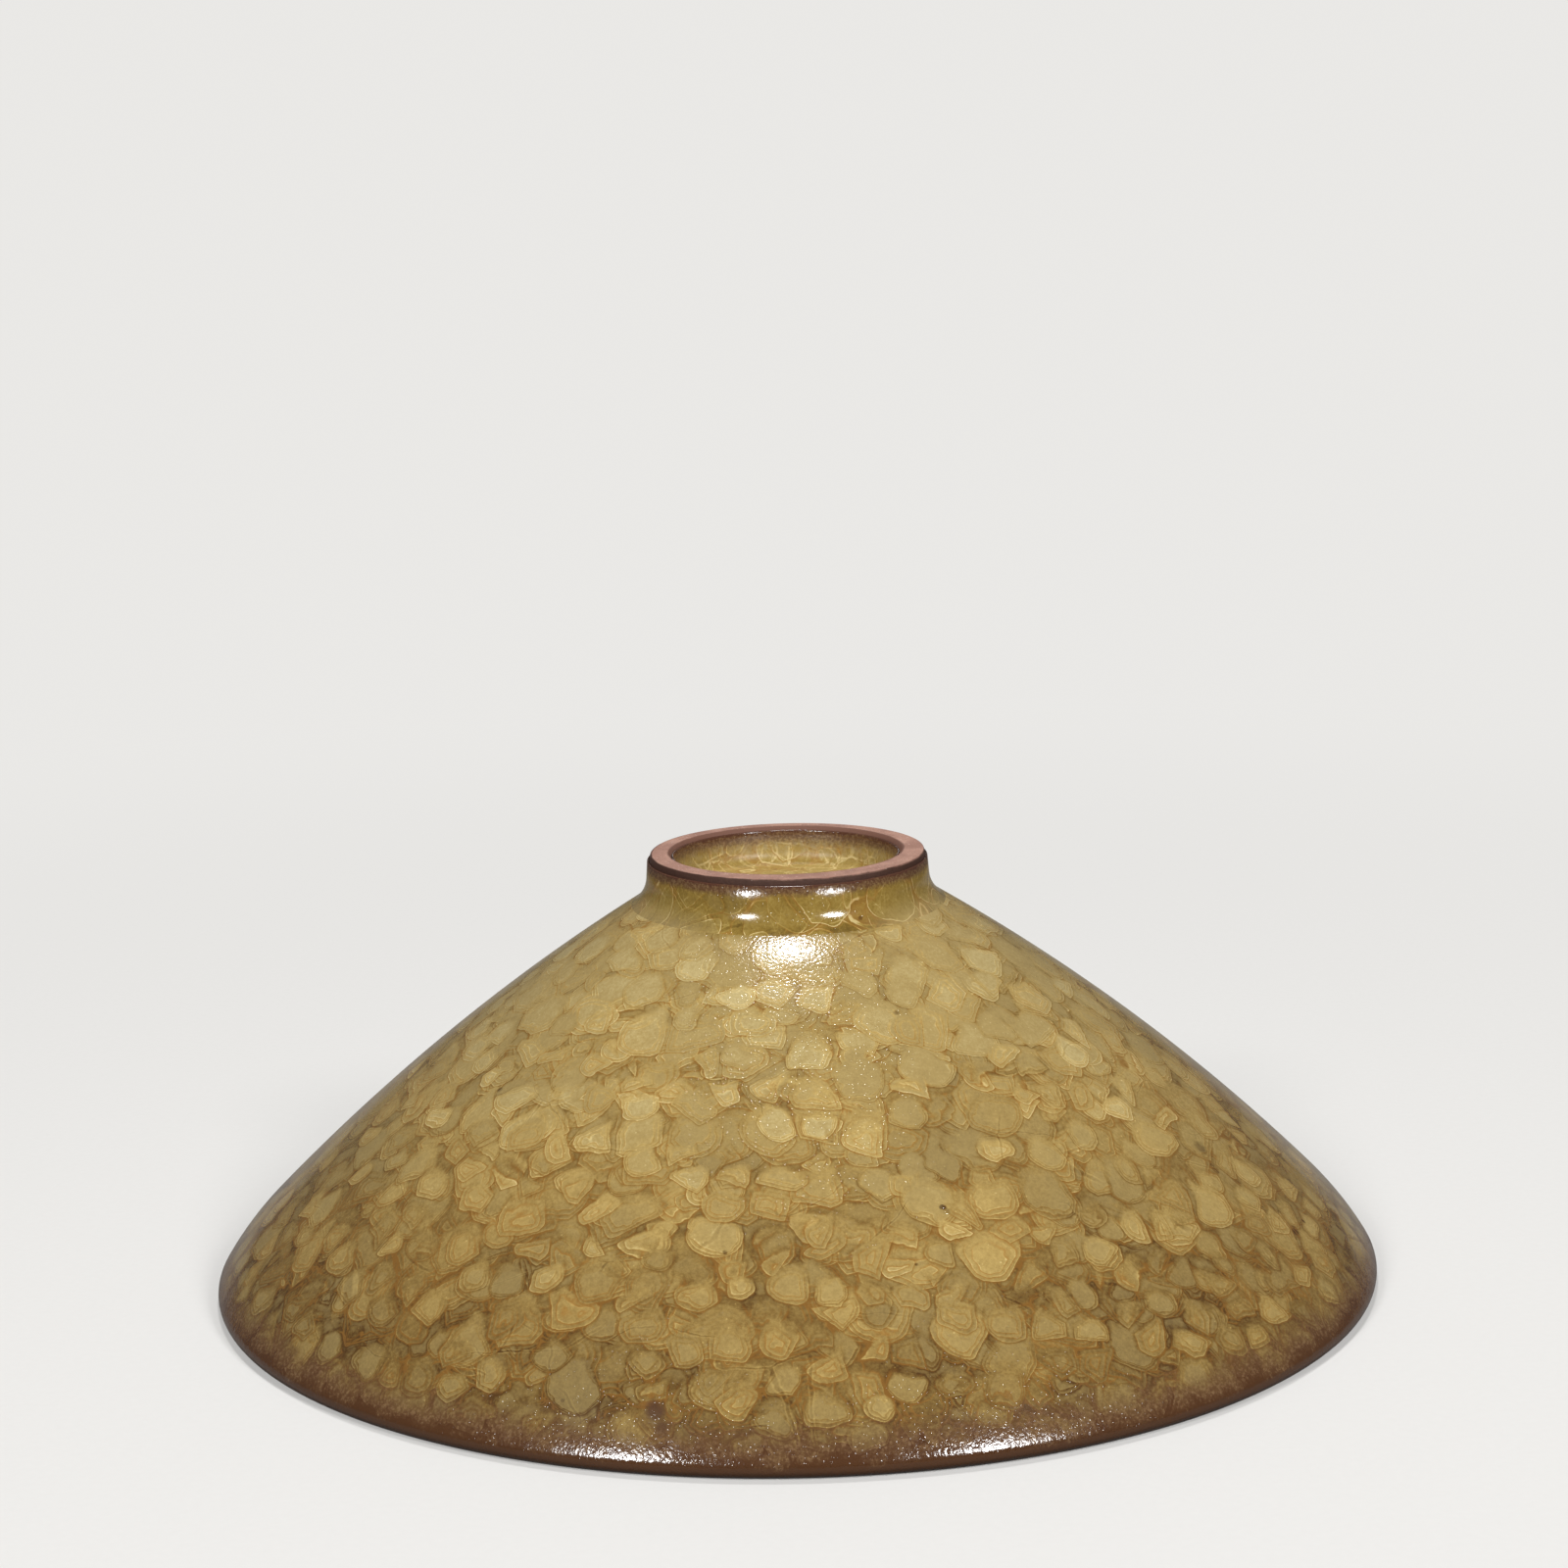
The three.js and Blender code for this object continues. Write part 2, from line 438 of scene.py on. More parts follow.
def filletRun(start, end, depth):
    turned = [mix(filletStart, filletEnd, share) for share in (start, end)]
    return arc(fillet, *turned, steps["fillet"], lambda part: -depth(mix(start, end, part)))


def filletShareAt(height):
    low, high = 0, 1
    for _ in range(30):
        middle = (low + high) / 2
        if filletRun(middle, middle, footClayAt)[0].y < height:
            low = middle
        else:
            high = middle
    return low


crown = form["height"] - well["depth"] - well["coat"] - bond
seat = crown + bond
boreTop = Vector((foot["radius"] - foot["face"] - foot["innerBevel"], form["height"] - foot["innerBevel"]))


def boreAt(height):
    return boreTop.x - (boreTop.y - height) * math.tan(math.radians(well["draft"]))


# Modelling: an outline is extruded point by point from one vertex, then spun

# How far the thrown clay strays from round, and what an edge may turn and still look smooth
turning = {"reach": 0.45, "grain": 55, "axes": {"X": 1, "Y": 1.45}, "smoothAngle": 35, "mergeWithin": 0.002}


def throwUneven(piece):
    for axis, wider in turning["axes"].items():
        texture = bpy.data.textures.new(piece.name + axis, "CLOUDS")
        texture.noise_scale = turning["grain"] * mm * wider
        texture.noise_depth = 0
        modifier = piece.modifiers.new("thrown" + axis, "DISPLACE")
        modifier.texture = texture
        modifier.texture_coords = "LOCAL"
        modifier.direction = axis
        modifier.mid_level = 0.5
        modifier.strength = turning["reach"] * mm
        bpy.ops.object.modifier_apply(modifier=modifier.name)


def startOutline(name, outline):
    bpy.ops.object.select_all(action="DESELECT")
    bpy.ops.mesh.primitive_plane_add(size=mm)
    piece = bpy.context.object
    piece.name = name
    piece.data.name = name
    bpy.ops.object.mode_set(mode="EDIT")
    bpy.ops.mesh.select_all(action="SELECT")
    bpy.ops.mesh.merge(type="CENTER")
    bpy.ops.transform.translate(value=(outline[0].x * mm, 0, outline[0].y * mm))
    for here, there in zip(outline, outline[1:]):
        step = (there - here) * mm
        bpy.ops.mesh.extrude_region_move(TRANSFORM_OT_translate={"value": (step.x, 0, step.y)})
    return piece


def spinOutline():
    bpy.ops.mesh.select_all(action="SELECT")
    bpy.ops.mesh.spin(steps=steps["turn"], angle=math.tau, center=(0, 0, 0), axis=(0, 0, 1))
    bpy.ops.mesh.select_all(action="SELECT")
    bpy.ops.mesh.remove_doubles(threshold=turning["mergeWithin"] * mm)
    bpy.ops.mesh.normals_make_consistent(inside=False)


def shiftWell(piece, reach):    # moves what lies within reach of the axis
    bpy.ops.mesh.select_all(action="DESELECT")
    bpy.ops.object.mode_set(mode="OBJECT")
    for vertex in piece.data.vertices:
        vertex.select = vertex.co.xy.length < reach * mm
    bpy.ops.object.mode_set(mode="EDIT")
    bpy.ops.mesh.select_mode(type="VERT")
    bpy.ops.transform.translate(value=(well["shift"][0] * mm, well["shift"][1] * mm, 0))


def turnPiece(name, outline, node, material, shifted=0):
    piece = startOutline(name, outline)
    spinOutline()
    if shifted:
        shiftWell(piece, shifted)
    bpy.ops.object.mode_set(mode="OBJECT")
    throwUneven(piece)
    bpy.ops.object.shade_smooth_by_angle(angle=math.radians(turning["smoothAngle"]))
    piece.data.materials.append(material)
    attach(piece, "root")
    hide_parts(node)
    print(name, "turned,", len(piece.data.polygons), "faces")


# Glaze: plates of its layered crackle, drawn over each other from the deepest to the top one, each with a
# painted shadow and a painted highlight along its lower edge

tones = {
    "straw": (
        (0.0, srgb(84, 58, 28)),
        (0.25, srgb(124, 98, 52)),
        (0.5, srgb(156, 129, 73)),
        (0.75, srgb(186, 158, 95)),
        (1.0, srgb(220, 198, 138)),
    ),
    "olive": (
        (0.0, srgb(70, 50, 20)),
        (0.25, srgb(112, 88, 36)),
        (0.5, srgb(146, 119, 54)),
        (0.75, srgb(172, 146, 78)),
        (1.0, srgb(214, 192, 132)),
    ),
    "warm": srgb(172, 123, 56),
    "grey": srgb(142, 126, 86),
    "mauve": srgb(98, 69, 44),
    "mauveFleck": srgb(126, 97, 68),
    "iron": srgb(84, 54, 32),
    "ironFoot": srgb(60, 37, 21),
    "pooled": srgb(134, 110, 50),
    "thinLine": srgb(88, 56, 42),
    "smudge": srgb(86, 60, 42),
    "dusty": srgb(184, 164, 118),
}
# "low" and "high" are a layer's share of plates at the lip and at the root, where they are larger
wallPlates = (
    {"size": 8.8, "shift": (11, 3, 7), "low": 0.95, "high": 0.95,
     "value": 0.4, "terraces": 1, "reach": 0.5},
    {"size": 7.2, "shift": (31, 17, 2), "low": 0.95, "high": 0.95,
     "value": 0.43, "terraces": 3, "reach": 0.48},
    {"size": 6.2, "shift": (5, 41, 23), "low": 0.95, "high": 0.8,
     "value": 0.45, "terraces": 2, "reach": 0.46},
    {"size": 8.2, "shift": (61, 11, 43), "low": 0.7, "high": 0.95,
     "value": 0.48, "terraces": 3, "reach": 0.44},
    {"size": 6.4, "shift": (19, 29, 53), "low": 0.9, "high": 0.7,
     "value": 0.5, "terraces": 3, "reach": 0.42},
    {"size": 5.4, "shift": (37, 5, 61), "low": 0.9, "high": 0.4,
     "value": 0.53, "terraces": 2, "reach": 0.42},
    {"size": 7.8, "shift": (47, 13, 37), "low": 0.5, "high": 0.9,
     "value": 0.56, "terraces": 3, "reach": 0.4},
    {"size": 5.9, "shift": (17, 53, 29), "low": 0.8, "high": 0.45,
     "value": 0.6, "terraces": 3, "reach": 0.38},
)
footPlates = (
    {"size": 9, "shift": (7, 3, 19), "low": 0.9, "high": 0.9,
     "value": 0.42, "terraces": 1, "reach": 0.6},
    {"size": 7.6, "shift": (23, 31, 5), "low": 0.9, "high": 0.9,
     "value": 0.49, "terraces": 1, "reach": 0.55},
    {"size": 8.4, "shift": (41, 17, 11), "low": 0.8, "high": 0.8,
     "value": 0.53, "terraces": 1, "reach": 0.5},
)
wellPlates = (
    {"size": 6.5, "shift": (3, 37, 13), "low": 0.9, "high": 0.9,
     "value": 0.64, "terraces": 1, "reach": 1},
    {"size": 5, "shift": (29, 7, 3), "low": 0.8, "high": 0.8,
     "value": 0.7, "terraces": 1, "reach": 1},
    {"size": 5.6, "shift": (9, 47, 31), "low": 0.6, "high": 0.6,
     "value": 0.72, "terraces": 1, "reach": 1},
)
# Longer cracks, shown only on a share of the coat: a line, with a paler one along each side
wallCreases = (
    {"size": 15, "stretch": (1, 1, 2.2), "shift": (4, 9, 2), "share": 0.45, "width": 0.16,
     "line": -0.12, "sides": 0.08},
    {"size": 21, "stretch": (1, 1, 0.8), "shift": (44, 19, 32), "share": 0.45, "width": 0.12,
     "line": -0.05, "sides": 0.12},
)
footCreases = (
    {"size": 5.5, "stretch": (1.6, 1.6, 0.6), "shift": (34, 29, 12), "share": 0.6, "width": 0.09,
     "line": 0.16, "sides": 0},
    {"size": 4.2, "stretch": (1.3, 1.3, 0.9), "shift": (14, 9, 42), "share": 0.55, "width": 0.08,
     "line": 0.12, "sides": 0},
    {"size": 13, "stretch": (1, 1, 1), "shift": (5, 49, 2), "share": 0.45, "width": 0.22,
     "line": -0.14, "sides": 0.06},
)
wellCreases = (
    {"size": 3.8, "stretch": (1, 1, 0.8), "shift": (24, 19, 2), "share": 0.85, "width": 0.14,
     "line": 0.2, "sides": -0.02},
    {"size": 2.4, "stretch": (1, 1, 0.8), "shift": (4, 39, 22), "share": 0.8, "width": 0.12,
     "line": 0.14, "sides": 0},
    {"size": 1.7, "stretch": (1, 1, 0.7), "shift": (54, 9, 32), "share": 0.6, "width": 0.1,
     "line": 0.1, "sides": 0},
)
# "circle" is where the coat is turned, as radius from the axis, height and radius of its own.
# A plate has its painted shade and a painted highlight rim on its lower side, which "downhill"
# points to as outwards and up, and "around" is how much of them goes all round it.
coats = {
    "wall": {
        "circle": (*wall[0], wall[1]), "plates": wallPlates, "creases": wallCreases,
        "downhill": (0.77, -0.64), "around": 0.15, "ground": 0.36, "ramp": "straw",
        "inset": 0.3, "cover": 0.94, "spread": 0.22, "rimLight": 0.17, "shade": 0.3,
    },
    "inside": {
        "circle": (*wall[0], innerBow), "plates": wallPlates[1::2], "creases": wallCreases,
        "downhill": (0.77, -0.64), "around": 0.15, "ground": 0.4, "ramp": "straw",
        "inset": 0.3, "cover": 0.94, "spread": 0.22, "rimLight": 0.15, "shade": 0.31,
    },
    "footSide": {
        "circle": (*fillet[0], fillet[1]), "plates": footPlates, "creases": footCreases,
        "downhill": (0.2, -0.98), "around": 0.8, "ground": 0.46, "ramp": "olive",
        "inset": 0.15, "cover": 0.6, "spread": 0.16, "rimLight": 0.6, "shade": 0.14,
        "rootShade": 0.22, "fade": 0.45, "matt": 0.1, "dust": 0, "thinReach": 1.9, "roll": 0.7,
    },
    "well": {
        "circle": (0, 0, 58), "plates": wellPlates, "creases": wellCreases,
        "downhill": (-0.3, -0.95), "around": 0.85, "ground": 0.58, "ramp": "olive",
        "inset": 0.1, "cover": 0.55, "spread": 0.2, "rimLight": 0.34, "shade": 0.12,
        "rootShade": 0, "fade": 0, "matt": 1.2, "dust": 0.8, "thinReach": 2.8, "roll": 0.1,
    },
}


def pushed(recipe, place, size, reach):    # a place moved about by noise
    stray = recipe.vector("SUBTRACT", recipe.noise(place, size, 1).also("Color"), (0.5, 0.5, 0.5))
    return recipe.vector("ADD", place, recipe.vector("MULTIPLY", stray, (reach, reach, reach)))


def outwards(recipe, place):    # away from the bowl's axis
    flat = recipe.vector("MULTIPLY", place, (1, 1, 0))
    return recipe.node("ShaderNodeVectorMath", {"operation": "NORMALIZE"}, {0: flat})


def offCircle(recipe, place, circle):    # how far a place lies from the surface that the coat follows
    flat = recipe.vector("MULTIPLY", place, (1, 1, 0))
    across = recipe.vector("LENGTH", flat, (0, 0, 0), "Value") - circle[0]
    along = recipe.parts(place)[2] - circle[1]
    away = recipe.maths("SQRT", across * across + along * along) - circle[2]
    return recipe.maths("ABSOLUTE", away)


crisp = 0.01    # how far a share of cells takes to go from none to all


def strewn(recipe, place, size, radius, share):    # round dots in some of the cells
    cells = {"Vector": place, "Scale": 1 / size, "Randomness": 1}
    dot = recipe.node("ShaderNodeTexVoronoi", {"feature": "F1"}, cells, "Distance")
    chance = recipe.node("ShaderNodeSeparateColor", None, {0: dot.also("Color")})
    near = 1 - recipe.rise(dot * size, radius * 0.5, radius)
    return near * recipe.rise(chance, 1 - share, 1 - share + crisp)


# How a plate is drawn; lengths are in millimetres
plateLook = {
    "scatter": 0.7,    # how far the seeds stray from an even grid
    "heights": (4, 48),    # a layer's share goes from low to high between them
    "patchSize": 2.6,
    "patches": (0.38, 0.62),    # where the noise of the patches turns a rim on
    "upperSide": -0.7,    # along the plate, as shares of its half
    "lowerSide": 0.4,
    "round": (0.58, 0.1),    # the circle that rounds its corners off: least, and more by hue
    "roundBlend": 0.3,
    "crowding": (0.75, 0.45),    # of the terraces: above, and what is added below
    "softness": (0.6, -0.5),    # of the edge, likewise
    "cover": (0.85, 0.15),    # least, and more by hue
    "toneInset": 0.3,
    "terrace": (0.2, 0.5, 0.25),    # step to the next one: least, more by hue, more by patch
    "terraceTone": 0.03,
    "shadeReach": (-0.55, -0.18),    # of two soft shadows on what lies under
    "shadeFalls": 0.6,    # from terrace to terrace
    "shadeWarmth": (0.2, 0.25),
    # the rim is a painted highlight along the plate's edge
    "rimOut": (-0.02, 0.05),
    "rimIn": (0.05, 0.24),
    "rimFalls": 0.4,
    "rimPatch": 0.35,
    "rimTone": 0.5,
    "rimHeight": (0.9, 0.7),
    "warmth": (0.24, 0.2),
    "warmthCover": 0.9,
}


def least(pair, factor):    # the first number, and more by the second times the factor
    return pair[0] + pair[1] * factor


def layPlates(recipe, place, downhill, under, warmth, coat, layer):
    look = plateLook
    size = layer["size"]
    spot = recipe.vector("ADD", place, layer["shift"])
    cells = {"Vector": spot, "Scale": 1 / size, "Randomness": look["scatter"]}
    cell = recipe.node("ShaderNodeTexVoronoi", {"feature": "F1"}, cells, "Color")
    edge = recipe.node("ShaderNodeTexVoronoi", {"feature": "DISTANCE_TO_EDGE"}, cells, "Distance") * size
    chance = recipe.node("ShaderNodeSeparateColor", None, {0: cell})
    tone = chance.also(1)
    hue = chance.also(2)
    seed = recipe.vector("SUBTRACT", cell.also("Position"), layer["shift"])
    off = offCircle(recipe, seed, coat["circle"]) / size
    high = recipe.rise(recipe.parts(seed)[2], *look["heights"])
    share = recipe.level(high, layer["low"], layer["high"])
    present = recipe.rise(chance + share, 1, 1 + crisp)
    present = present * (1 - recipe.rise(off, layer["reach"], layer["reach"] + 2 * crisp))
    patchy = recipe.rise(recipe.noise(spot, look["patchSize"], 1), *look["patches"])
    shine = (look["rimPatch"] + patchy) * (look["rimTone"] + tone) * least(look["rimHeight"], high)
    away = recipe.vector("SUBTRACT", place, seed)
    far = recipe.vector("LENGTH", away, (0, 0, 0), "Value")
    lean = recipe.vector("DOT_PRODUCT", away, downhill, "Value") / (size / 2)
    lower = recipe.rise(lean, look["upperSide"], look["lowerSide"])
    circle = size * least(look["round"], hue) - far
    rounded = recipe.maths("SMOOTH_MIN", edge, circle, look["roundBlend"])
    crowded = rounded * least(look["crowding"], lower)
    soft = least(look["softness"], lower)
    lit = least((coat["around"], 1 - coat["around"]), lower)
    plateValue = layer["value"] + (tone - 0.5) * coat["spread"]
    cover = present * (coat["cover"] * least(look["cover"], hue))
    step, stepByHue, stepByPatch = look["terrace"]
    value = under
    for terrace in range(layer["terraces"]):
        inset = coat["inset"] + tone * look["toneInset"]
        inner = crowded - (inset + terrace * (step + stepByHue * hue + stepByPatch * patchy))
        mask = recipe.rise(inner, 0, soft)
        # painted shadow just outside the plate's edge, and a painted highlight along its rim, mostly on its
        # lower side
        wide, near = [recipe.rise(inner, start, 0) for start in look["shadeReach"]]
        shade = (wide + near) * (1 - mask) * lit * present
        paintedRimHighlight = recipe.rise(inner, *look["rimOut"]) * (1 - recipe.rise(inner, *look["rimIn"])) * lit * cover
        value = value - shade * (coat["shade"] * 0.5 / (1 + look["shadeFalls"] * terrace))
        value = recipe.level(mask * cover, value, plateValue + terrace * look["terraceTone"])
        value = value + paintedRimHighlight * shine * (coat["rimLight"] / (1 + look["rimFalls"] * terrace))
        warmth = warmth + shade * least(look["shadeWarmth"], hue)
        warmth = recipe.level(mask * cover * look["warmthCover"], warmth, least(look["warmth"], hue))
    return value, warmth


def layCreases(recipe, place, value, creases):
    for crease in creases:
        missing = 1 - crease["share"]
        wide = crease["width"]
        spot = recipe.vector("ADD", recipe.vector("MULTIPLY", place, crease["stretch"]), crease["shift"])
        cells = {"Vector": spot, "Scale": 1 / crease["size"], "Randomness": 1}
        edge = recipe.node("ShaderNodeTexVoronoi", {"feature": "DISTANCE_TO_EDGE"}, cells, "Distance")
        away = edge * crease["size"]
        shown = recipe.rise(recipe.noise(spot, crease["size"] * 0.7, 1), missing, missing + 0.1)
        line = 1 - recipe.rise(away, wide * 0.4, wide)
        along = recipe.rise(away, wide * 0.8, wide * 1.2) * (1 - recipe.rise(away, wide * 1.4, wide * 2.4))
        value = value + line * shown * crease["line"] + along * shown * crease["sides"]
    return value


# Small faults of the firing, in millimetres
marks = (
    {"place": (14.4, -32.9, 46.4), "radius": 0.6, "dark": 0.5},
    {"place": (-16.8, -30.8, 47.1), "radius": 0.5, "dark": 0.4},
    {"place": (56.6, -28.4, 24.8), "radius": 1.5, "dark": 0.3},
    {"place": (69.5, -30.4, 13.2), "radius": 1.3, "dark": 0.28},
    {"place": (-40.7, -29.4, 35.8), "radius": 0.6, "dark": 0.4},
    {"place": (71.4, -26.1, 13), "radius": 0.6, "dark": 0.4},
    {"place": (19.2, -58.1, 26.6), "radius": 0.6, "dark": 0.9},
    {"place": (-9.3, -64.3, 23.2), "radius": 0.45, "dark": 0.5},
    {"place": (15.4, -65.3, 21.3), "radius": 0.35, "dark": 0.4},
    {"place": (15.1, -82.1, 4.4), "radius": 0.6, "dark": 0.7},
    {"place": (-30.2, -75, 7.6), "radius": 0.35, "dark": 0.45},
    {"place": (-6.1, -82.1, 5.9), "radius": 0.4, "dark": 0.4},
    {"place": (10, -18.9, 56.5), "radius": 0.5, "dark": 0.8},
    {"place": (-1.9, 12.4, 57.1), "radius": 0.4, "dark": 0.7},
)
smudges = (
    {"place": (-18.3, -79, 7.4), "radius": 2},
    {"place": (-17.4, -80.6, 5.7), "radius": 1.6},
)
scratches = {
    "place": (-62.2, -44.6, 12.3),
    "radius": 6.5,
    "size": 1.1,
    "stretch": (1, 0.1, 0.1),
    "shown": (0.54, 0.64),    # where the noise turns a line on
    "line": 0.2,
}
# Glossy pits that catch the light
pinholes = {"places": ((15.6, -82.3, 4.2), (19.6, -58.4, 26.2)), "radius": 0.6, "rise": 0.25}
# Noise that makes them ragged, as size and reach, the share of the radius that is full, and strength
faultLook = {"mark": (0.6, 0.35), "smudge": (1, 0.9), "core": 0.3, "scratchCore": 0.4, "smudgeShare": 0.9}


def within(recipe, place, mark, core):    # 1 in the core of a mark, given as a share, and 0 outside it
    away = recipe.vector("DISTANCE", place, mark["place"], "Value")
    return 1 - recipe.rise(away, mark["radius"] * core, mark["radius"])


def markFaults(recipe, place, value):
    ragged = pushed(recipe, place, *faultLook["mark"])
    for mark in marks:
        value = value - within(recipe, ragged, mark, faultLook["core"]) * mark["dark"]
    return value


def smudge(recipe, place, colour):
    ragged = pushed(recipe, place, *faultLook["smudge"])
    for mark in smudges:
        near = within(recipe, ragged, mark, faultLook["core"]) * faultLook["smudgeShare"]
        colour = recipe.blend(near, colour, tones["smudge"])
    return colour


def scratched(recipe, place, value):    # a fan of fine pale lines low on the left of the wall
    run = recipe.vector("MULTIPLY", place, scratches["stretch"])
    lines = recipe.rise(recipe.noise(run, scratches["size"], 1), *scratches["shown"])
    return value + within(recipe, place, scratches, faultLook["scratchCore"]) * lines * scratches["line"]


def sideways(recipe, place, low, high):    # 0 in front of the bowl and behind it, 1 at its sides
    return recipe.rise(recipe.maths("ABSOLUTE", recipe.parts(place)[0]), low, high)


# Noise as size in millimetres, strength, detail and roughness
grains = {
    "ground": (4, 0.25, 3),
    "fine": (0.45, 0.5, 3, 0.7),
    "mottled": (1.6, 0.24, 2, 0.6),
    "broad": (24, 0.28, 2),
    "heat": (15, 0.7, 2),
    "swell": (4, 0.07, 1),
}
# Strewn dots as spacing, radius and share of the cells that have one
dots = {
    # pale dots in the glaze's colour are painted sparkle, more of them high on the wall
    "glaze": (1.1, 0.16, 0.35),
    "highGlaze": (0.6, 0.12, 0.4),
    "relief": (0.55, 0.2, 0.55),
    "bodySpeck": (1.4, 0.3, 0.5),
    "faceFleck": (0.7, 0.14, 0.7),
    "faceSpeck": (1.3, 0.2, 0.5),
}
bends = ((7, 2.2), (1.3, 0.35))    # noise that bends the plates, as size and reach
warmthSize = 11
dotTone = 0.22


def crackle(recipe, place, coat):    # tone from 0, dark, to 1, pale, and how warm its hue is
    out, up = coat["downhill"]
    downhill = recipe.vector("MULTIPLY", outwards(recipe, place), (out, out, 0))
    downhill = recipe.vector("ADD", downhill, (0, 0, up))
    warped = place
    for bend in bends:
        warped = pushed(recipe, warped, *bend)
    value = coat["ground"] + recipe.grain(place, *grains["ground"])
    warmth = recipe.noise(place, warmthSize)
    for layer in coat["plates"]:
        value, warmth = layPlates(recipe, warped, downhill, value, warmth, coat, layer)
    value = layCreases(recipe, warped, value, coat["creases"])
    for name in ("fine", "mottled", "broad"):
        value = value + recipe.grain(place, *grains[name])
    # pale dots: painted sparkle
    value = value + strewn(recipe, place, *dots["glaze"]) * dotTone
    return markFaults(recipe, place, value), warmth


# How the warmth of a plate tints it: where the tint starts and is full, and its share
tints = {"cooler": 0.06, "warm": (0.5, 1.1), "warmShare": 0.4, "grey": (0.05, 0.5), "greyShare": 0.45}


def tinted(recipe, place, coat, value, warmth):
    colour = recipe.node("ShaderNodeValToRGB", {"stops": tones[coat["ramp"]]}, {0: value})
    heat = warmth + recipe.grain(place, *grains["heat"]) - tints["cooler"]
    colour = recipe.blend(recipe.rise(heat, *tints["warm"]) * tints["warmShare"], colour, tones["warm"])
    grey = (1 - recipe.rise(heat, *tints["grey"])) * tints["greyShare"]
    return recipe.blend(grey, colour, tones["grey"])


# Gloss of the glaze; relief is in millimetres, and coarser where the glaze ran thin
gloss = {
    "refraction": 1.52,
    "relief": (0.012, 0.035),    # on smooth glaze, and what is added where it is rough
    "reliefSize": 0.45,
    "dotRise": 0.018,
    "roughness": 0.1,
    "smeared": 0.07,
    "smears": (0.35, 0.75),
    "smearSize": 3,
    "matt": 0.25,
}


def glossyRelief(recipe, place, rough, rolls):
    smooth, coarse = gloss["relief"]
    height = (recipe.noise(place, gloss["reliefSize"], 1) - 0.5) * (smooth + rough * coarse)
    height = height + strewn(recipe, place, *dots["relief"]) * gloss["dotRise"]
    height = height + recipe.grain(place, *grains["swell"]) + rolls
    return recipe.node("ShaderNodeBump", None, {"Strength": 1, "Distance": mm, "Height": height})


def glossyFinish(recipe, place, colour, bump, matt):
    smeared = recipe.rise(recipe.noise(place, gloss["smearSize"], 3, 0.6), *gloss["smears"])
    roughness = gloss["roughness"] + smeared * gloss["smeared"] + matt * gloss["matt"]
    sockets = {"Base Color": colour, "Roughness": roughness, "IOR": gloss["refraction"], "Normal": bump}
    finishSurface(recipe, sockets)


# The wall's coat, by heights in millimetres; a pair says where a change starts and is full
wallLook = {
    "upper": (22, 52),
    "lower": (3, 30),
    "middle": 0.46,    # tone that the contrast leaves as it is
    "contrast": 1.05,
    "lowContrast": 0.12,
    "highContrast": 0.15,
    # paler and greyer high on the wall and darker low: partly the glaze's own tone, partly painted light
    # falling from above
    "highTone": 0.22,
    "lowTone": 0.26,
    "dotTone": 0.25,
    "coolHigh": 0.3,
    "pool": (54.5, 55.3),    # the darker line round the root: glaze gathered there, with painted shade of the crease
    "poolGrain": (1.8, 1.2),
    "poolShare": 0.7,
    "front": (8, 17),
    "fleckSize": 0.5,
    "flecks": (0.45, 0.7),
    "thin": (2.6, 7),    # iron brown, where the glaze ran thin over the lip
    "thinGrain": (3.5, 2.6, 3),
    "thinFleck": 1.4,
    "thinTone": (0.4, 2.4),
    "iron": (1.6, 3.4),
    "ironFoot": (0.2, 1.4),
    "lipRough": (3, 8),
    "shoulderRough": (40, 52),
    "shoulderRelief": 1.1,
    "roll": (2.2, 6.2),    # the glaze stands up in a low roll along the lip
    "rollRise": 0.2,
    "fallFrom": 52,    # and falls away towards the root
    "fall": 0.04,
    "thinMatt": 0.1,
    "mattFrom": (47, 53),
    "shoulderMatt": 0.2,
}


def wallTone(recipe, place, height, value):
    look = wallLook
    high = recipe.rise(height, *look["upper"])
    low = 1 - recipe.rise(height, *look["lower"])
    contrast = look["contrast"] + low * look["lowContrast"] - high * look["highContrast"]
    value = look["middle"] + (value - look["middle"]) * contrast
    # paler towards the root and darker towards the lip: partly the glaze's own tone, partly painted light
    # from above
    value = value + high * look["highTone"] - low * look["lowTone"]
    # more painted sparkle high on the wall, round the highlight
    value = value + strewn(recipe, place, *dots["highGlaze"]) * high * look["dotTone"]
    return scratched(recipe, place, value), high


def ironBrown(recipe, place, height, value, colour):
    look = wallLook
    fleck = recipe.noise(place, look["fleckSize"], 2, 0.7)
    pale, paleReach = look["thinTone"]
    ragged = height + recipe.grain(place, *look["thinGrain"]) + (fleck - 0.5) * look["thinFleck"]
    ragged = ragged + (value - pale) * paleReach
    thin = 1 - recipe.rise(ragged, *look["thin"])
    iron = recipe.blend(recipe.rise(fleck, *look["flecks"]), tones["mauve"], tones["mauveFleck"])
    iron = recipe.blend(1 - recipe.rise(ragged, *look["iron"]), iron, tones["iron"])
    iron = recipe.blend(1 - recipe.rise(height, *look["ironFoot"]), iron, tones["ironFoot"])
    return recipe.blend(thin, colour, iron), thin


def wallRolls(recipe, place, height):
    look = wallLook
    roll = 1 - recipe.rise(height, *look["roll"])
    fall = recipe.maths("MAXIMUM", height - look["fallFrom"], 0)
    rolls = roll * look["rollRise"] - fall * fall * look["fall"]
    for pinhole in pinholes["places"]:
        pit = {"place": pinhole, "radius": pinholes["radius"]}
        rolls = rolls + within(recipe, place, pit, 0) * pinholes["rise"]
    return rolls


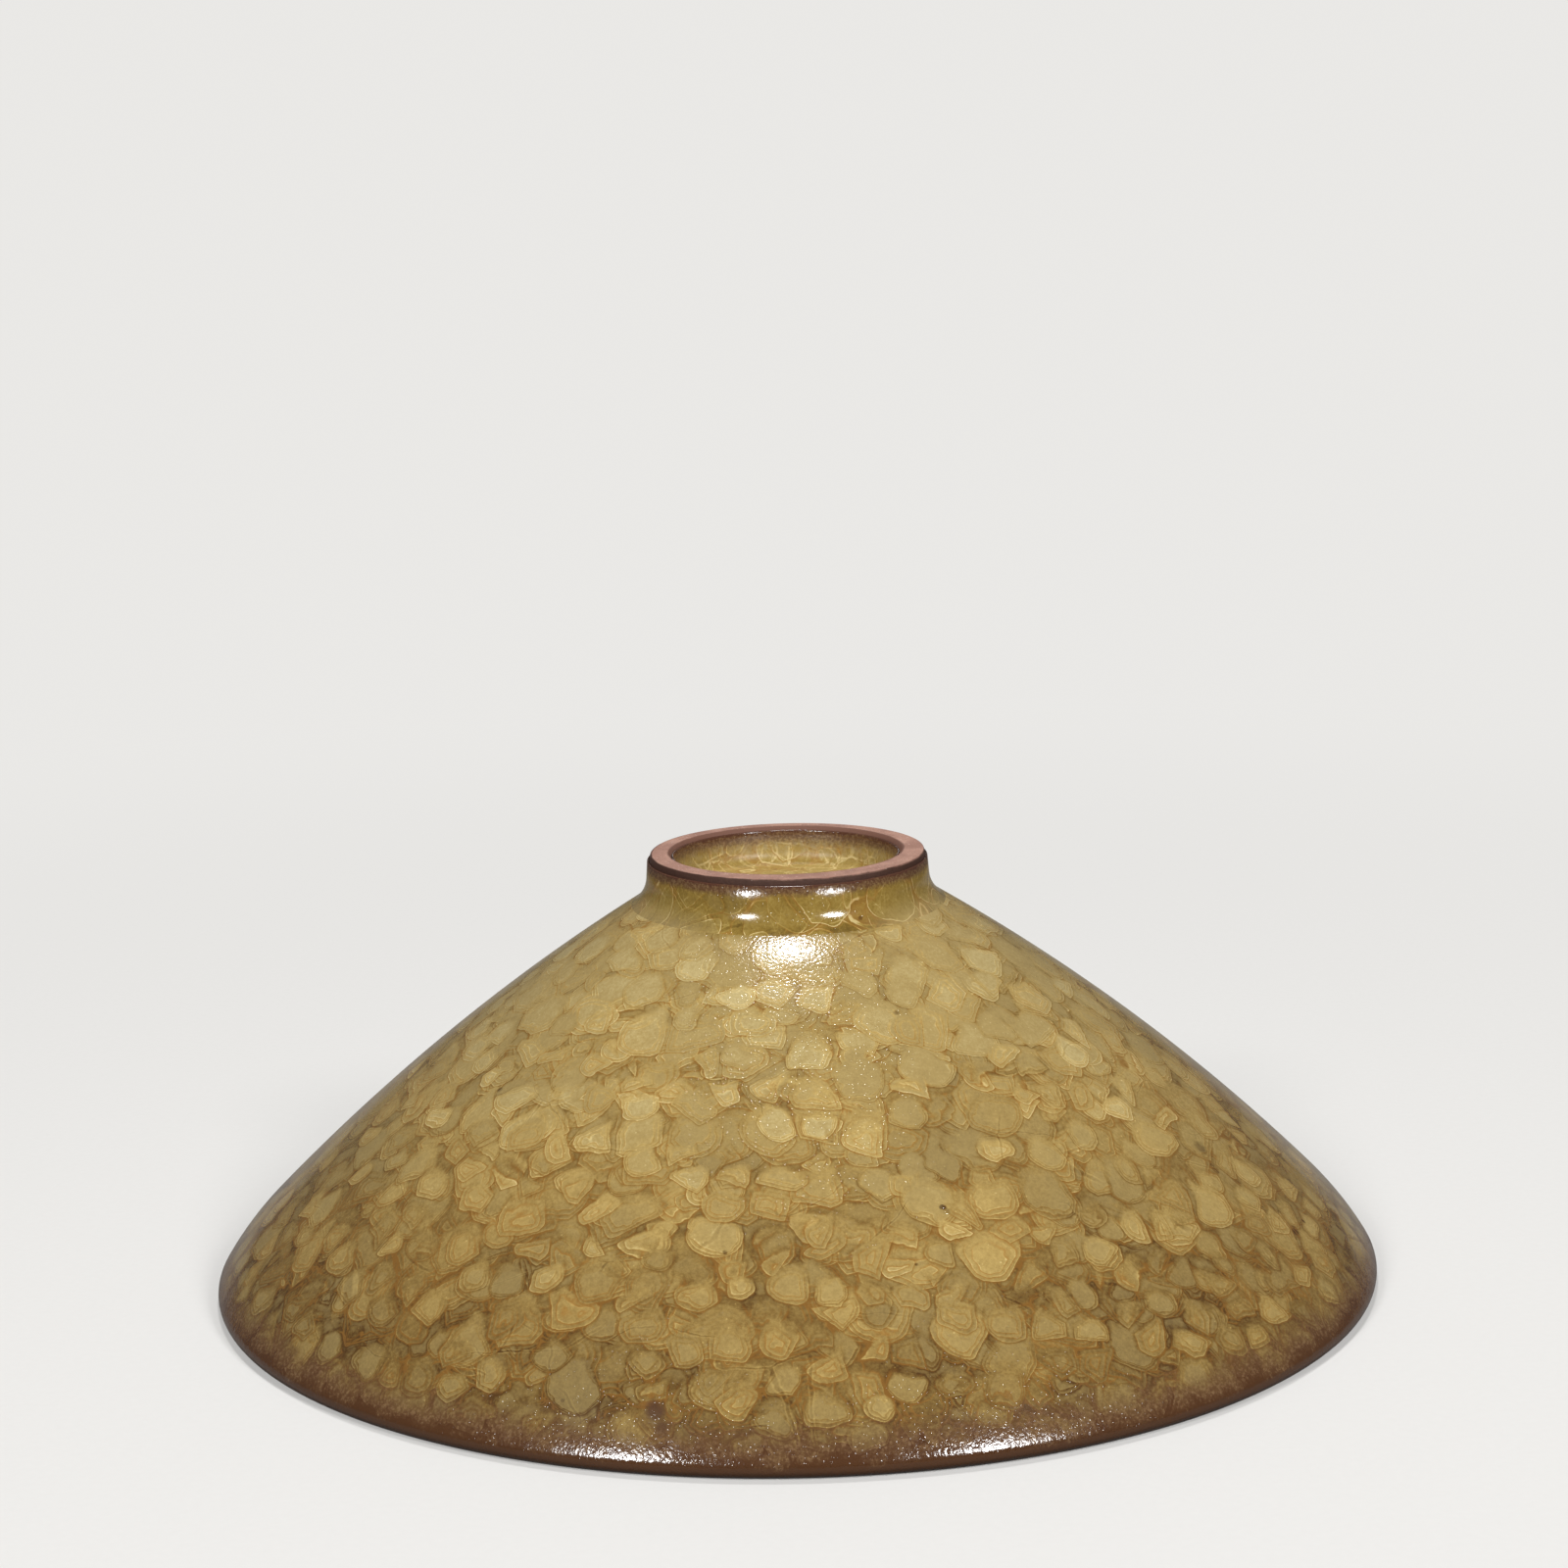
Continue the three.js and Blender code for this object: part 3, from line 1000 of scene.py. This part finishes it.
def wallGlaze(name, coat):
    look = wallLook
    material, recipe = newMaterial(name)
    place = recipe.objectPlace()
    height = recipe.parts(place)[2]
    value, warmth = crackle(recipe, place, coat)
    value, high = wallTone(recipe, place, height, value)
    colour = tinted(recipe, place, coat, value, warmth - high * look["coolHigh"])
    # a darker olive line round the root, only in front of the bowl and behind it: pooled glaze with painted
    # shade of the crease
    pooled = recipe.rise(height + recipe.grain(place, *look["poolGrain"]), *look["pool"])
    pooled = pooled * (1 - sideways(recipe, place, *look["front"]))
    colour = recipe.blend(pooled * look["poolShare"], colour, tones["pooled"])
    colour = smudge(recipe, place, colour)
    colour, thin = ironBrown(recipe, place, height, value, colour)
    rough = 1 - recipe.rise(height, *look["lipRough"])
    rough = rough + recipe.rise(height, *look["shoulderRough"]) * look["shoulderRelief"]
    bump = glossyRelief(recipe, place, rough, wallRolls(recipe, place, height))
    matt = thin * look["thinMatt"] + recipe.rise(height, *look["mattFrom"]) * look["shoulderMatt"]
    glossyFinish(recipe, place, colour, bump, matt)
    return material


# The coats of the foot, by depths below the line where the glaze ends
footLook = {
    "rootFrom": (5, 6.4),
    "rootPatches": (0.4, 0.6),
    "paler": (1.5, 4),
    "palerTone": 0.06,
    "heat": 0.1,
    "faded": (3.4, 6.4),
    "sides": (8, 17),
    "dusted": (2.4, 4.6),
    "dustGrain": (0.35, 0.7),
    "raggedFleck": 1.2,
    "raggedGrain": (2.4, 0.8),
    "flecks": (0.4, 0.66),
    "mauveFrom": 0.7,
    "thinLine": (0.05, 0.55),
    "rough": (0.8, 2),
    "relief": 0.6,
    "rollReach": 3,
    "mattFrom": (0.3, 1),
}


def footColour(recipe, place, below, coat):
    look = footLook
    value, warmth = crackle(recipe, place, coat)
    # painted shade in the crease at the root, in patches
    patches = recipe.rise(recipe.noise(place, 6, 1), *look["rootPatches"])
    root = recipe.rise(below, *look["rootFrom"]) * patches
    value = value - root * coat["rootShade"] + recipe.rise(below, *look["paler"]) * look["palerTone"]
    colour = tinted(recipe, place, coat, value, warmth + look["heat"])
    dust = recipe.blend(recipe.noise(place, 1.5), tones["grey"], tones["dusty"])
    # towards the root, paler grey at the bowl's sides and not in front or behind
    faded = recipe.rise(below, *look["faded"]) * sideways(recipe, place, *look["sides"])
    colour = recipe.blend(faded * coat["fade"], colour, dust)
    dusted = 1 - recipe.rise(below, *look["dusted"])
    dusted = dusted * recipe.rise(recipe.noise(place, 0.9, 3, 0.7), *look["dustGrain"])
    return recipe.blend(dusted * coat["dust"], colour, dust)


def footGlaze(name, coat, line):
    look = footLook
    material, recipe = newMaterial(name)
    place = recipe.objectPlace()
    below = line - recipe.parts(place)[2]
    colour = footColour(recipe, place, below, coat)
    fleck = recipe.noise(place, 0.4, 2, 0.7)
    ragged = below + (fleck - 0.5) * look["raggedFleck"] + recipe.grain(place, *look["raggedGrain"])
    mauve = recipe.blend(recipe.rise(fleck, *look["flecks"]), tones["mauve"], tones["mauveFleck"])
    colour = recipe.blend(recipe.rise(ragged, look["mauveFrom"], coat["thinReach"]), mauve, colour)
    colour = recipe.blend(recipe.rise(ragged, *look["thinLine"]), tones["thinLine"], colour)
    rough = (1 - recipe.rise(below, *look["rough"])) * look["relief"]
    # a rounded edge, highest at rollReach below the line
    turned = recipe.maths("MINIMUM", below / look["rollReach"], 1)
    bump = glossyRelief(recipe, place, rough, turned * (2 - turned) * coat["roll"])
    glossyFinish(recipe, place, colour, bump, coat["matt"] * recipe.rise(below, *look["mattFrom"]))
    return material


# Fired clay, left bare

clays = {
    "face": srgb(184, 141, 122),
    "faceDeep": srgb(154, 112, 96),
    "fleck": srgb(216, 190, 176),
    "speck": srgb(96, 66, 52),
    "bevel": srgb(112, 74, 58),
    "band": srgb(64, 35, 21),
    "body": srgb(142, 104, 82),
    "bodyPale": srgb(158, 118, 94),
}
clayLook = {
    "bodyGrain": 0.6,
    "bodyBump": {"Strength": 0.4, "Distance": 0.2 * mm},
    "bodyRoughness": 0.8,
    "faceGrain": 0.35,
    "patchSize": 4,
    "even": (0.3, 0.7),    # where a grain goes from one colour to the other
    "ringSize": 0.3,    # of the fine rings that turning left
    "rings": (0.5, 0.75),
    "ringShare": 0.3,
    "fleckShare": 0.8,
    "speckShare": 0.7,
    "wander": (3, 0.4),
    "grainWander": 0.3,
    "innerBevel": 0.3,
    "outerBand": (-0.2, 0.05),    # from the foot's radius
    "bandHeight": (-0.3, -0.1),    # from the foot's face
    "bandRadius": (18, 18.5),
    "bandPale": 0.15,
    "grainRelief": 0.06,
    "ringRelief": 0.04,
    "faceRoughness": 0.7,
}


def plainClay(name):
    look = clayLook
    material, recipe = newMaterial(name)
    place = recipe.objectPlace()
    grain = recipe.noise(place, look["bodyGrain"], 4, 0.6)
    colour = recipe.blend(recipe.rise(grain, *look["even"]), clays["body"], clays["bodyPale"])
    colour = recipe.blend(strewn(recipe, place, *dots["bodySpeck"]), colour, clays["speck"])
    bump = recipe.node("ShaderNodeBump", None, {**look["bodyBump"], "Height": grain})
    finishSurface(recipe, {"Base Color": colour, "Roughness": look["bodyRoughness"], "Normal": bump})
    return material


def fromAxis(recipe, place):
    flat = recipe.vector("MULTIPLY", place, (1, 1, 0))
    return recipe.vector("LENGTH", flat, (0, 0, 0), "Value")


def turnedClay(name):
    look = clayLook
    material, recipe = newMaterial(name)
    place = recipe.objectPlace()
    height = recipe.parts(place)[2] - form["height"]
    inner = fromAxis(recipe, recipe.vector("SUBTRACT", place, (*well["shift"], 0)))
    outer = fromAxis(recipe, place)
    grain = recipe.noise(place, look["faceGrain"], 4, 0.7)
    patch = recipe.noise(place, look["patchSize"], 3)
    ring = recipe.node("ShaderNodeCombineXYZ", None, {0: inner, 1: patch * 0.6})
    turned = recipe.noise(ring, look["ringSize"])
    uneven = recipe.rise(patch + (grain - 0.5) * 0.8, *look["even"])
    colour = recipe.blend(uneven, clays["faceDeep"], clays["face"])
    rings = recipe.rise(turned, *look["rings"]) * look["ringShare"]
    colour = recipe.blend(rings, colour, clays["faceDeep"])
    flecks = strewn(recipe, place, *dots["faceFleck"]) * look["fleckShare"]
    colour = recipe.blend(flecks, colour, clays["fleck"])
    specks = strewn(recipe, place, *dots["faceSpeck"]) * look["speckShare"]
    colour = recipe.blend(specks, colour, clays["speck"])
    # a darker bevel along the inner edge, and the iron brown band along the outer one
    wander = recipe.grain(place, *look["wander"]) + (grain - 0.5) * look["grainWander"]
    edge = boreTop.x + foot["innerBevel"]
    onFace = recipe.rise(inner + wander, edge, edge + look["innerBevel"])
    colour = recipe.blend(onFace, clays["bevel"], colour)
    bandIn, bandOut = look["outerBand"]
    dark = recipe.rise(outer + wander, foot["radius"] + bandIn, foot["radius"] + bandOut)
    low = (1 - recipe.rise(height, *look["bandHeight"])) * recipe.rise(outer, *look["bandRadius"])
    band = recipe.blend(recipe.rise(grain, *look["even"]) * look["bandPale"], clays["band"], clays["bevel"])
    colour = recipe.blend(recipe.maths("MAXIMUM", dark, low), colour, band)
    rise = (grain - 0.5) * look["grainRelief"] + (turned - 0.5) * look["ringRelief"]
    bump = recipe.node("ShaderNodeBump", None, {"Strength": 1, "Distance": mm, "Height": rise})
    finishSurface(recipe, {"Base Color": colour, "Roughness": look["faceRoughness"], "Normal": bump})
    return material


# Pieces


def makeClayBody(material):
    depth = form["lipCoat"] + bond
    side = filletRun(filletShareAt(crown), 0, footClayAt)
    outline = joined(
        [Vector((0, crown)), side[0]],
        side,
        outerRun(lambda share: outerCoatAt(share) + bond),
        bendRun(bendAngle, leanAngle, depth),
        lipRun(depth),
        bendRun(leanAngle, bendAngle, form["lipThickness"] - depth),
        innerRun(lambda share: innerCoatAt(share) + bond),
    )
    turnPiece("clayBody", outline, "clay_cone", material)


def makeOuterGlaze(material):
    surface = joined(outerRun(lambda share: 0), bendRun(bendAngle, joinAngle, 0))
    under = joined(outerRun(outerCoatAt), bendRun(bendAngle, joinAngle, form["lipCoat"]))
    turnPiece("outerCoatOfGlaze", surface + under[::-1] + surface[:1], "outer_glaze", material)


def makeInnerGlaze(material):
    surface = joined(bendRun(joinAngle, bendAngle, form["lipThickness"]), innerRun(lambda share: 0))
    lipUnder = bendRun(joinAngle, bendAngle, form["lipThickness"] - form["lipCoat"])
    under = joined(lipUnder, innerRun(innerCoatAt))
    turnPiece("innerCoatOfGlaze", under[::-1] + surface, "inner_glaze", material)


def makeLip(material):
    def shell(depth):
        return joined(
            bendRun(joinAngle, leanAngle, depth),
            lipRun(depth),
            bendRun(leanAngle, joinAngle, form["lipThickness"] - depth),
        )
    outline = shell(0) + shell(form["lipCoat"])[::-1] + shell(0)[:1]
    turnPiece("ironBrownLip", outline, "lip_band", material)


def makeFootRing(material):
    faceOuter = Vector((foot["radius"], form["height"]))
    faceInner = Vector((boreTop.x + foot["innerBevel"], form["height"]))
    boreFoot = Vector((boreAt(seat), seat))
    outline = [
        *softCorner(faceInner, faceOuter, clayEdge, foot["edgeRound"]),
        clayEdge,
        *filletRun(1, filletShareAt(seat), footClayAt),
        boreFoot,
        *softCorner(boreFoot, boreTop, faceInner, foot["edgeRound"]),
        *softCorner(boreTop, faceInner, faceOuter, foot["edgeRound"]),
    ]
    outline.append(outline[0])
    turnPiece("turnedFootRing", outline, "foot_ring", material, shifted=faceInner.x + 0.2)


def makeFootGlaze(material):
    behind = clayEdge + Vector((bond, 0))
    surface = filletRun(0, 1, lambda share: 0)
    surface += softCorner(surface[-1], coatEdge, behind, foot["edgeRound"])
    under = filletRun(0, 1, footCoatAt) + [behind]
    outline = surface + under[::-1] + surface[:1]
    turnPiece("footSideGlaze", outline, "foot_side_glaze", material)


def makeWellGlaze(material):
    draft = math.radians(well["draft"])
    floor = form["height"] - well["depth"]

    def sideAt(height):
        return boreAt(height) - (bond + well["lineCoat"])
    turnHeight = floor + well["fillet"]
    turn = (Vector((sideAt(turnHeight) - well["fillet"] / math.cos(draft), turnHeight)), well["fillet"])
    side = arc(turn, -quarter, -draft, steps["fillet"])
    edge = Vector((sideAt(boreTop.y), boreTop.y))
    behind = boreTop - Vector((bond, 0))
    outline = [
        Vector((0, floor)),
        *side,
        *softCorner(side[-1], edge, behind, well["edgeRound"]),
        behind,
        Vector((boreAt(seat) - bond, seat)),
        Vector((0, seat)),
    ]
    turnPiece("wellGlaze", outline, "well_glaze", material, shifted=foot["radius"])


bodyClay = plainClay("bodyClay")
footClay = turnedClay("turnedFootClay")
outerGlaze = wallGlaze("strawCrackleGlaze", coats["wall"])
innerGlaze = wallGlaze("innerCrackleGlaze", coats["inside"])
sideGlaze = footGlaze("pooledOliveGlaze", coats["footSide"], form["glazeLine"])
wellFloorGlaze = footGlaze("wellOliveGlaze", coats["well"], boreTop.y)
print("materials mixed")
makeClayBody(bodyClay)
makeOuterGlaze(outerGlaze)
makeInnerGlaze(innerGlaze)
makeLip(outerGlaze)
makeFootRing(footClay)
makeFootGlaze(sideGlaze)
makeWellGlaze(wellFloorGlaze)
